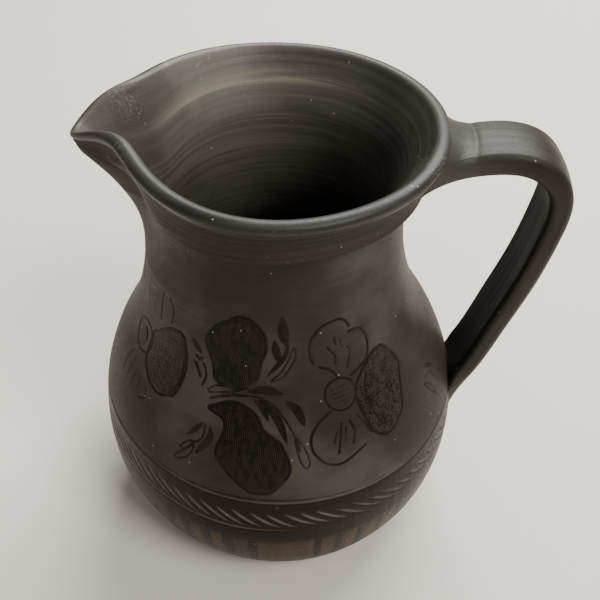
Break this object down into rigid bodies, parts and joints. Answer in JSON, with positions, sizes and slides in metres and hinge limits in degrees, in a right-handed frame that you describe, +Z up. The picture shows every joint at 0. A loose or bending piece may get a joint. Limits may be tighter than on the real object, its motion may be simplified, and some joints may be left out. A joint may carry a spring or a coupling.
{
  "type": "black clay pitcher",
  "caption": "Burnished black clay pitcher with a bulbous body, collared rim, pinched pouring spout and one strap handle.",
  "frame": {"origin": "centre of the foot's flat underside, on the axis that the body is turned about", "axes": "+Z up along the body's axis, +X towards the strap handle, -X towards the pouring spout"},
  "size_m": [0.1949, 0.1658, 0.2059],
  "materials": {
    "black_clay_body": "satin burnished, with matte incised ground",
    "black_clay_rim": "satin burnished, polished on the lip",
    "black_clay_handle": "satin burnished, with finger-smoothed streaks along the strap"
  },
  "bodies": {
    "root": {"base_disc": "black_clay_body", "lower_bowl": "black_clay_body", "belly_ring": "black_clay_body", "shoulder": "black_clay_body", "neck": "black_clay_body", "rim_collar": "black_clay_rim", "pouring_spout": "black_clay_rim", "upper_handle_join": "black_clay_handle", "handle_strap": "black_clay_handle", "lower_handle_join": "black_clay_handle"}
  },
  "joints": []
}
